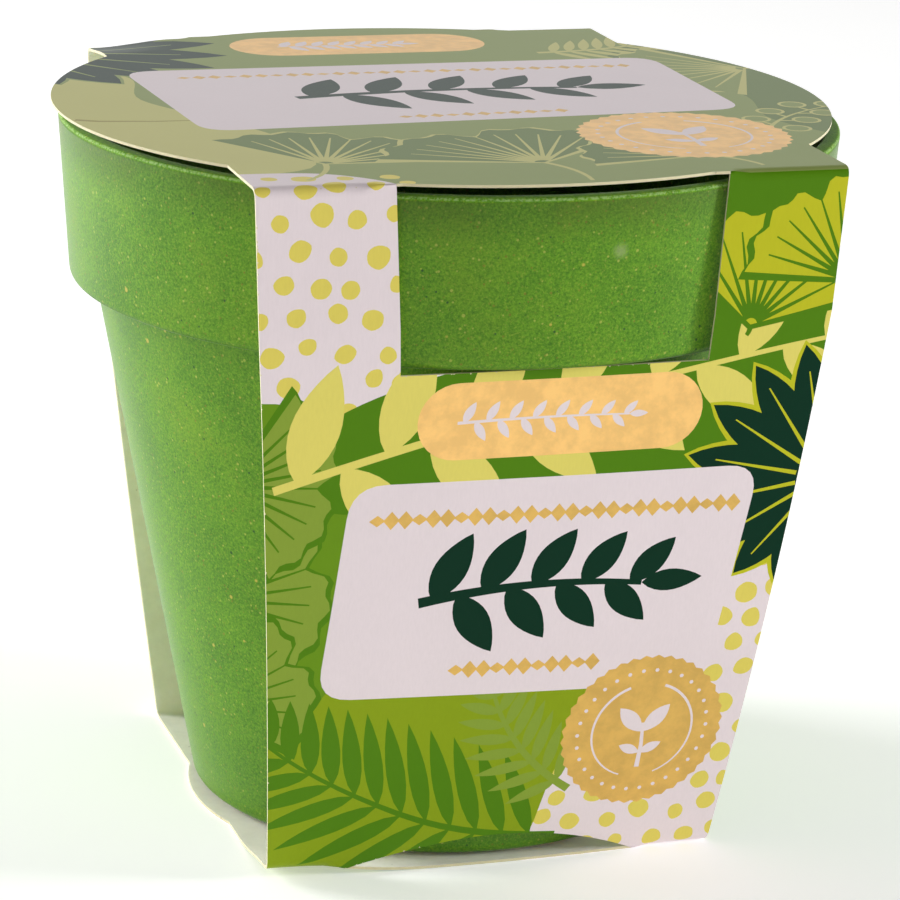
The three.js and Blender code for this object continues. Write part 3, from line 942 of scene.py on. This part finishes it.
def paintLabels():
    front.shape("paper", roundedLoop([(-27, 63.2), (33, 62.8), (28.6, 28.2), (-29.5, 30)], 5))
    front.lozenges("gold", -23, 57.7, 29.5, 57.1, 27, 2.8)
    front.garland("teal", -16, 44.6, 1.5, 33, 11.5, 9, 1.6, 0.04, 0.44)
    front.lozenges("gold", -9.5, 33.5, 11, 33.2, 11, 2.8)
    front.pill(-18.4, 23.1, 66.3, 77.7)
    front.seal("gold", 20.3, 20.9, 12.5)
    top.shape("paper", roundedLoop([(-42, 27), (42.5, 27), (42.5, -13.5), (-40, -17)], 5))
    top.lozenges("gold", -34, 21, 36, 21, 30, 2.6)
    top.garland("teal", -21, 4.0, 2, 44, 14, 9, 1.9, 0.04)
    top.lozenges("gold", -9, -11.5, 15, -10.6, 11, 2.6)
    top.pill(-21, 20.3, 36, 51)
    top.seal("foil", 27, -29.5, 15.5)
    back.shape("paper", roundedLoop([(-28, 64), (28, 64), (26, 22), (-26, 22)], 5))
    back.lozenges("gold", -20, 58, 20, 58, 19, 2.4)
    back.garland("teal", -10, 42, 0, 20, 8, 7, 1.2, 0.05)
    back.lozenges("gold", -14, 28, 14, 28, 13, 2.4)


# Fills the flat blank with triangles that follow the shapes' edges. Returns the corners, the
# triangles, what each corner was made from, and which of the shapes cover each triangle.
def fillFlat(points, lines, shapes):
    corners = list(points)
    edges = []
    faces = []
    for line in lines:
        edges += [(len(corners) + i, len(corners) + i + 1) for i in range(len(line) - 1)]
        corners += line
    for outline in shapes:
        faces.append(list(range(len(corners), len(corners) + len(outline))))
        corners += outline
    places = [Vector(point) for point in corners]
    flat, _, triangles, sources, _, owners = delaunay_2d_cdt(places, edges, faces, 0, 1e-4)
    return flat, triangles, sources, owners


# A loose grid of points over the blank, so that its bent panels stay round.
def blankGrid():
    e = sleeve
    points = []
    for row in range(int(loop / e["grid"])):
        t = bottomBack + e["grid"] * (row + e["gridAlong"])
        for column in range(-e["gridColumns"], e["gridColumns"] + 1):
            points.append((e["grid"] * (column + 0.5 * (row % 2)) + e["gridAside"], t))
    return points


# Lines along the folds and the kinks, close enough for a round fold.
def bendLines():
    width = sleeve["foldWidth"]
    shares = (-1, -0.6, -0.3, 0, 0.3, 0.6, 1)
    levels = [sleeve["kink"], backFoot - sleeve["kink"]]
    levels += [at + share * width for at in (0, frontTop, topBack) for share in shares]
    levels += [backFoot + share * width for share in shares[:3]]
    levels += [bottomBack + share * width for share in shares[4:]]
    half = sleeve["bendHalf"]
    return [refined([(-half, level), (half, level)], sleeve["bendStep"]) for level in levels]


# The edges with a triangle on one side only, in its own direction.
def openEdges(triangles):
    used = {(a, b) for face in triangles for a, b in zip(face, face[1:] + face[:1])}
    return {a: b for a, b in used if (b, a) not in used}


def openLoops(following):
    left = dict(following)
    loops = []
    while left:
        start, current = left.popitem()
        chain = [start]
        while current != start:
            chain.append(current)
            current = left.pop(current)
        loops.append(chain)
    return sorted(loops, key=len, reverse=True)


# The printed face of the blank: its corners, its triangles and the ink of each.
def printedFace(grid, bends):
    holes = (windowHole(frontTop, -1), windowHole(topBack, 1), archHole())
    cuts = [turnedLeft(blankOutline())] + [turnedLeft(hole) for hole in holes]
    flat, triangles, _, owners = fillFlat(grid, bends, cuts + [outline for _, outline in artwork])
    faces, shades = [], []
    for face, covers in zip(triangles, owners):
        if 0 in covers and not any(0 < cover < len(cuts) for cover in covers):
            faces.append(tuple(face))
            printed = max(covers) - len(cuts)
            shades.append(artwork[printed][0] if printed >= 0 else "paper")
    return flat, faces, shades


# The inner face has the same edges, without the print. Also returns which of its corners lies
# under each corner on an edge of the printed face.
def innerFace(grid, bends, flat, following):
    loops = openLoops(following)
    edges = [turnedLeft([tuple(flat[i]) for i in chain]) for chain in loops]
    ids = []
    for chain, outline in zip(loops, edges):
        same = tuple(flat[chain[0]]) == outline[0]
        ids += chain if same else chain[::-1]
    corners, triangles, sources, owners = fillFlat(grid, bends, edges)
    first = len(grid) + sum(len(line) for line in bends)
    partner = {}
    for vertex, made in enumerate(sources):
        for source in made:
            if source >= first:
                partner[ids[source - first]] = vertex
    faces = [tuple(face) for face, covers in zip(triangles, owners) if covers == [0]]
    return corners, faces, partner


# The card's mesh in the making.
class Card:
    def __init__(self):
        self.places = []
        self.normals = []
        self.seam = {}
        self.polygons = []
        self.inkNumbers = []
        self.loopNormals = []

    # Folds up one face of the blank, at a depth in the board, and gives each corner its number.
    # The blank's two ends meet at the seam.
    def fold(self, corners, faces, depth):
        numbers = {}
        for i in sorted({i for face in faces for i in face}):
            s, t = corners[i]
            atEnd = min(abs(t - backFoot), abs(t - bottomBack)) < near
            key = (depth, round(s, 2)) if atEnd and abs(s) > sleeve["backArchHalf"] - near else None
            if key in self.seam:
                numbers[i] = self.seam[key]
                continue
            numbers[i] = len(self.places)
            if key:
                self.seam[key] = numbers[i]
            normal = cardNormal(s, t)
            self.normals.append(normal)
            self.places.append((cardPoint(s, t) - depth * normal) * mm)
        return numbers

    # side is 1 on the outer face, -1 on the inner face and 0 on a cut edge, which is shaded flat.
    def add(self, polygon, shade, side):
        self.polygons.append(polygon)
        self.inkNumbers.append(inkNames.index(shade))
        if side == 0:
            a, b, c = (self.places[i] for i in polygon[:3])
            self.loopNormals.extend([(b - a).cross(c - a).normalized()] * len(polygon))
        else:
            self.loopNormals.extend(self.normals[i] * side for i in polygon)

    def mesh(self, name, materials):
        mesh = bpy.data.meshes.new(name)
        mesh.from_pydata(self.places, [], self.polygons)
        for material in materials:
            mesh.materials.append(material)
        mesh.polygons.foreach_set("material_index", self.inkNumbers)
        mesh.polygons.foreach_set("use_smooth", [True] * len(self.polygons))
        mesh.normals_split_custom_set(self.loopNormals)
        return mesh


def cardMesh(materials):
    grid = blankGrid()
    bends = bendLines()
    flat, faces, shades = printedFace(grid, bends)
    following = openEdges(faces)
    insideFlat, inside, partner = innerFace(grid, bends, flat, following)
    card = Card()
    outer = card.fold(flat, faces, 0.0)
    inner = card.fold(insideFlat, inside, sleeve["board"])
    for face, shade in zip(faces, shades):
        card.add([outer[i] for i in face], shade, 1)
    for face in inside:
        card.add([inner[i] for i in reversed(face)], "board", -1)
    for a, b in following.items():
        ends = [outer[a], inner[partner[a]], inner[partner[b]], outer[b]]
        if not all(end in card.seam.values() for end in ends):
            card.add(ends, "cutEdge", 0)
    return card.mesh("cardSleeve", materials)


# Printed card: an even colour with the paper's fine upright grain.
def inkPaint(shade):
    def paint(place):
        streak = place.stretched(1, 1, 0.16).grain(0.3, 2, 0.6)
        cloud = place.grain(16, 2)
        tint = (streak * 0.6 + cloud * 0.4).step(0.3, 0.7)
        return {
            "Base Color": tint.blend(colour(*shade, 0.98), colour(*shade, 1.02)),
            "Roughness": streak * 0.06 + 0.3,
            "Normal": (streak * 0.3 + place.grain(7, 2) * 0.7).bump(0.015, 0.4),
        }
    return paint


# Hot foil: a satin metal skin that is a little worn.
def foilPaint(shade):
    def paint(place):
        satin = place.grain(3.2, 4, 0.65)
        rubbed = place.grain(0.4, 2)
        return {
            "Base Color": satin.step(0.34, 0.68).blend(colour(*shade, 0.86), colour(*shade, 1.02)),
            "Roughness": rubbed * 0.12 + 0.3,
            "Normal": (satin * 0.7 + rubbed * 0.3).bump(0.02, 0.4),
        }
    return paint


# The bare inside of the board, and its cut edge: pale pulp with short fibres and a few specks.
def boardPaint(shade):
    def paint(place):
        pulp = place.grain(2.4, 4, 0.65)
        threads = place.stretched(1, 0.35, 0.35).grain(0.34, 2)
        body = pulp.step(0.3, 0.7).blend(colour(*shade, 0.96), colour(*shade, 1.02))
        speck = 1 - place.scatter(2.6).step(0.04, 0.09)
        return {
            "Base Color": (speck * 0.35).blend(body, colour(96, 88, 66)),
            "Roughness": threads * 0.1 + 0.74,
            "Normal": (threads * 0.5 + pulp * 0.5).bump(0.04, 0.5),
        }
    return paint


# Foil is part metal. A little light comes through the thin board. The inks have a faint gloss.
foilFinish = {"Metallic": 0.45}
inkFinish = {"IOR": 1.18}
boardFinish = {
    "Subsurface Weight": 0.4, "Subsurface Radius": (1.0, 0.9, 0.75), "Subsurface Scale": 0.8 * mm,
}


def buildSleeve():
    paintFront()
    paintBack()
    paintTop()
    paintWearAndCreaseShade()
    paintLabels()
    materials = []
    for ink, shade in inks.items():
        if ink in foilInks:
            materials.append(newMaterial(ink + "Foil", foilPaint(shade), foilFinish))
        elif ink in ("board", "cutEdge"):
            materials.append(newMaterial(ink + "Pulp", boardPaint(shade), boardFinish))
        else:
            materials.append(newMaterial(ink + "Ink", inkPaint(shade), inkFinish))
    mesh = cardMesh(materials)
    addPiece("printed_sleeve", mesh, "card_sleeve")
    print("sleeve", len(artwork), "printed shapes,", len(mesh.polygons), "faces")


# What the pot holds: two discs of pressed coir, a packet of seeds and a leaflet.
contents = dict(
    clearance=0.3, discRadius=31.0, discHeight=13.0, discEdge=1.2, discSegments=96, discStep=1.5,
    discUneven=0.006, discSharpAngle=60, strandRoom=0.15, strandRadius=0.13, strandSides=5,
    strandLength=5.5, strandTilt=0.04, strandTurn=6.28, strandDensity=60000.0, strandSeed=5,
    packetWidth=46.0, packetLength=60.0, packetThickness=1.8, packetSeam=0.5, packetTurn=24.0,
    packetColumns=46, packetRows=60, packetSwell=1.08, swellFrom=4.0, swellReach=8.0,
    seedCount=34, seedSeed=8, seedField=(-14, 14, -22, 10), seedHeight=0.16, seedSpot=0.9,
    crimpHeight=0.09, crimpWidth=5.0, crimpRate=4.2, rimReach=1.2, rimTop=0.3, rimFoot=0.16,
    packetSink=0.12, packetFoot=0.1, leafletWidth=46.0, leafletLength=62.0, leafletTurn=-14.0,
    sheet=0.4, gap=0.45, lowSag=0.05, highSag=0.04, paperSharpAngle=50,
)
contentsFoot = floorTop + contents["clearance"]
discPitch = contents["discHeight"] + contents["clearance"]


def coirPaint(place):
    pith = place.grain(1.6, 5, 0.7)
    strand = place.stretched(1, 1, 3).grain(0.7, 2)
    body = pith.step(0.3, 0.7).blend(colour(58, 36, 22), colour(118, 82, 50))
    return {
        "Base Color": (strand.step(0.6, 0.72) * 0.6).blend(body, colour(164, 124, 80)),
        "Roughness": pith * 0.1 + 0.86,
        "Normal": (pith * 0.6 + strand * 0.4).bump(0.3, 0.8),
    }


# Coir strands lying on the pressed disc, turned every way.
def matted(w, body):
    points = body.node("GeometryNodeDistributePointsOnFaces", {}, {
        "Mesh": body, "Density": w["Strands"], "Seed": w["Seed"]})
    upright = Wire(points.tree, points.socket.node.outputs["Rotation"])
    c = contents
    tilt = c["strandTilt"]
    turn = body.node("FunctionNodeRandomValue", {"data_type": "FLOAT_VECTOR"}, {
        0: (-tilt, -tilt, 0), 1: (tilt, tilt, c["strandTurn"]), "Seed": w["Seed"]})
    aim = body.node("FunctionNodeRotateRotation", {"rotation_space": "LOCAL"}, {
        "Rotation": upright, "Rotate By": turn})
    strand = body.node("GeometryNodeMeshCylinder", {}, {
        "Vertices": c["strandSides"], "Radius": c["strandRadius"] * mm,
        "Depth": c["strandLength"] * mm})
    strand = body.node("GeometryNodeTransform", {}, {"Geometry": strand, "Rotation": (0, math.pi / 2, 0)})
    strands = body.node("GeometryNodeInstanceOnPoints", {}, {
        "Points": points, "Instance": strand, "Rotation": aim})
    join = body.tree.nodes.new("GeometryNodeJoinGeometry")
    body.tree.links.new(body.socket, join.inputs[0])
    body.tree.links.new(strands.socket, join.inputs[0])
    return Wire(body.tree, join.outputs[0])


def buildDiscs():
    coir = newMaterial("coir", coirPaint, {"Specular IOR Level": 0.2})
    c = contents
    room = c["strandRoom"]  # the strands lie in it, so that the disc keeps its size
    edge = c["discEdge"]
    radius = c["discRadius"] - room
    high = c["discHeight"] - room
    section = [
        (0, high),
        *corner(radius - edge, high - edge, edge, 90, 0, 5),
        *corner(radius - edge, edge + room, edge, 0, -90, 5),
        (0, room),
    ]

    def tree(w):
        return finishTree(placed(w, matted(w, turnedBody(w))), coir, c["discSharpAngle"])

    for level, node in enumerate(("soil_disc_lower", "soil_disc_upper")):
        sockets = {
            "Segments": ("Int", c["discSegments"]),
            "Uneven": ("Float", c["discUneven"]),
            "Strands": ("Float", c["strandDensity"]),
            "Seed": ("Int", c["strandSeed"] + level),
            "Place": ("Vector", (pot["x"] * mm, 0, (contentsFoot + level * discPitch) * mm)),
        }
        name = node.replace("soil_disc", "coir_disc")
        mesh = runTree(name, sectionMesh(name, section, c["discStep"]), sockets, tree)
        addPiece(name, mesh, node)
    print("coir discs")


def kraftPaint(place):
    pulp = place.grain(1.8, 4, 0.6)
    threads = place.stretched(0.3, 1, 1).grain(0.4, 2)
    tint = (pulp * 0.6 + threads * 0.4).step(0.32, 0.68)
    return {
        "Base Color": tint.blend(colour(166, 132, 88), colour(196, 164, 116)),
        "Roughness": pulp * 0.1 + 0.7,
        "Normal": (pulp * 0.5 + threads * 0.5).bump(0.06, 0.6),
    }


def whitePaint(place):
    pulp = place.grain(2.2, 3)
    return {
        "Base Color": pulp.step(0.3, 0.7).blend(colour(228, 224, 212), colour(244, 241, 232)),
        "Roughness": pulp * 0.1 + 0.6,
        "Normal": pulp.bump(0.03, 0.4),
    }


# A packet crimped all round, with the seeds showing as low bumps in its middle.
def packetSurface():
    c = contents
    draw = random.Random(c["seedSeed"])
    left, right, low, high = c["seedField"]
    seeds = [(draw.uniform(left, right), draw.uniform(low, high)) for _ in range(c["seedCount"])]
    columns, rows = c["packetColumns"], c["packetRows"]
    points, faces = [], []
    for side in (0, 1):
        for j in range(rows + 1):
            for i in range(columns + 1):
                x = c["packetWidth"] * (i / columns - 0.5)
                y = c["packetLength"] * (j / rows - 0.5)
                inset = min(c["packetWidth"] / 2 - abs(x), c["packetLength"] / 2 - abs(y))
                full = (1 - (2 * x / c["packetWidth"]) ** 4) * (1 - (2 * y / c["packetLength"]) ** 4)
                wave = math.sin((x + y) * c["crimpRate"])
                rib = c["crimpHeight"] * wave * smoothStep(1 - inset / c["crimpWidth"])
                bump = sum(math.exp(-((x - sx) ** 2 + (y - sy) ** 2) / c["seedSpot"]) for sx, sy in seeds)
                swell = c["packetSwell"] * full + c["seedHeight"] * bump
                swell *= smoothStep((inset - c["swellFrom"]) / c["swellReach"])
                level = c["packetSeam"] - c["packetSink"] + rib + swell if side else c["packetFoot"]
                rim = c["rimTop"] if side else c["rimFoot"]
                points.append((x, y, mix(level, rim, smoothStep(1 - inset / c["rimReach"]))))
    width = columns + 1
    for side in (0, 1):
        base = side * width * (rows + 1)
        for j in range(rows):
            for i in range(columns):
                a = base + j * width + i
                quad = [a, a + 1, a + 1 + width, a + width]
                faces.append(quad if side else quad[::-1])
    border = list(range(columns)) + [columns + j * width for j in range(rows)]
    border += [rows * width + i for i in range(columns, 0, -1)]
    border += [j * width for j in range(rows, 0, -1)]
    over = width * (rows + 1)
    faces += [[a, b, b + over, a + over] for a, b in zip(border, border[1:] + border[:1])]
    return points, faces


# A sheet folded twice, to and fro, with round folds.
def leafletSurface():
    c = contents
    pitch = c["sheet"] + c["gap"]
    end = c["leafletWidth"] / 2 - c["sheet"] / 2 - pitch / 2
    low = c["sheet"] / 2
    line = [(-end - pitch / 2, low), (0, low + c["lowSag"])]
    line += corner(end, low + pitch / 2, pitch / 2, -90, 90, 8)
    line += corner(-end, low + 1.5 * pitch, pitch / 2, 270, 90, 8)
    line += [(0, low + 2 * pitch - c["highSag"]), (end + pitch / 2, low + 2 * pitch)]
    left, right = strokeSides(line, c["sheet"])
    ring = left + right[::-1]
    half = c["leafletLength"] / 2
    points = [(x, y, z) for y in (-half, half) for x, z in ring]
    count = len(ring)
    faces = [[i, (i + 1) % count, (i + 1) % count + count, i + count] for i in range(count)]
    for i in range(len(line) - 1):
        quad = [i, i + 1, count - 2 - i, count - 1 - i]
        faces.append(quad[::-1])
        faces.append([k + count for k in quad])
    return points, faces


def plainMesh(name, surface, turn, foot, material):
    points, faces = surface
    pose = Matrix.Translation((pot["x"], 0, foot)) @ Matrix.Rotation(math.radians(turn), 4, "Z")
    mesh = bpy.data.meshes.new(name)
    mesh.from_pydata([(pose @ Vector(point)) * mm for point in points], [], faces)
    mesh.materials.append(material)
    mesh.polygons.foreach_set("use_smooth", [True] * len(faces))
    mesh.set_sharp_from_angle(angle=math.radians(contents["paperSharpAngle"]))
    return mesh


def buildPapers():
    c = contents
    kraft = newMaterial("kraft", kraftPaint, {"Specular IOR Level": 0.3})
    white = newMaterial("leafletPaper", whitePaint, {"Specular IOR Level": 0.4})
    foot = contentsFoot + 2 * discPitch
    mesh = plainMesh("seedPacket", packetSurface(), c["packetTurn"], foot, kraft)
    addPiece("crimped_packet", mesh, "seed_packet")
    foot += c["packetThickness"] + c["clearance"]
    mesh = plainMesh("leaflet", leafletSurface(), c["leafletTurn"], foot, white)
    addPiece("folded_leaflet", mesh, "instruction_leaflet")
    print("packet and leaflet")


# The floor, the light and the camera.
studio = dict(
    floorHalf=4000.0, floorDrop=0.06, floorGlow=0.36, horizon=1.17, zenith=0.29, horizonTop=0.25,
    zenithFoot=0.65, sideShare=0.65, backGain=0.22, leftPlace=(-1036, 810, 380), leftPower=21.0,
    leftSize=560, rightPlace=(1250, -480, 380), rightPower=13.0, rightSize=340, lampAim=(0, 0, 50),
    cameraPlace=(-168.232, -527.054, 216.581), cameraTurn=-17.9356, cameraTilt=73.4236,
    cameraRoll=1.8828, lens=152.46, clipStart=10.0,
)


def buildFloor():
    half, drop = studio["floorHalf"], studio["floorDrop"]
    mesh = bpy.data.meshes.new("floor")
    corners = [(-half, -half), (half, -half), (half, half), (-half, half)]
    mesh.from_pydata([(x * mm, y * mm, -drop * mm) for x, y in corners], [], [(0, 1, 2, 3)])

    def paint(place):
        return {"Base Color": place.grain(60, 2).blend(colour(243, 243, 242), colour(247, 247, 246))}

    finish = {
        "Roughness": 0.9, "Specular IOR Level": 0.1, "Emission Color": (1, 1, 1, 1),
        "Emission Strength": studio["floorGlow"],
    }
    mesh.materials.append(newMaterial("floorPaper", paint, finish))
    floor = bpy.data.objects.new("floor", mesh)
    bpy.context.scene.collection.objects.link(floor)


def addLight(name, place, power, size):
    light = bpy.data.lights.new(name, "AREA")
    light.energy = power
    light.size = size * mm
    lamp = bpy.data.objects.new(name, light)
    aim = Vector(studio["lampAim"]) - Vector(place)
    turn = aim.to_track_quat("-Z", "Y").to_matrix().to_4x4()
    lamp.matrix_world = Matrix.Translation(Vector(place) * mm) @ turn
    bpy.context.scene.collection.objects.link(lamp)


def buildStudio():
    s = studio
    scene = bpy.context.scene
    scene.view_settings.view_transform = "Standard"
    world = bpy.data.worlds.new("studio")
    world.use_nodes = True
    sky = world.node_tree.nodes["Background"]
    sky.inputs["Color"].default_value = (1, 1, 1, 1)
    aim = Wire(world.node_tree).node("ShaderNodeTexCoord", output="Generated")
    height = aim.node("ShaderNodeSeparateXYZ", {}, {0: aim}, "Z")
    depth = aim.node("ShaderNodeSeparateXYZ", {}, {0: aim}, "Y")
    glow = height.step(s["horizonTop"], s["zenithFoot"]) * (s["zenith"] - s["horizon"]) + s["horizon"]
    glow = glow * (depth * s["backGain"] + s["sideShare"])  # brighter behind the pot than before it
    world.node_tree.links.new(glow.socket, sky.inputs["Strength"])
    scene.world = world
    buildFloor()
    addLight("leftSoftbox", s["leftPlace"], s["leftPower"], s["leftSize"])
    addLight("rightSoftbox", s["rightPlace"], s["rightPower"], s["rightSize"])
    camera = bpy.data.objects.new("camera", bpy.data.cameras.new("camera"))
    camera.data.lens = s["lens"]
    camera.data.clip_start = s["clipStart"] * mm
    turns = ((s["cameraTurn"], "Z"), (s["cameraTilt"], "X"), (s["cameraRoll"], "Z"))
    pose = Matrix.Translation(Vector(s["cameraPlace"]) * mm)
    for angle, axis in turns:
        pose = pose @ Matrix.Rotation(math.radians(angle), 4, axis)
    camera.matrix_world = pose
    scene.collection.objects.link(camera)
    scene.camera = camera
    print("studio")


buildStudio()
buildPot()
buildSleeve()
buildDiscs()
buildPapers()
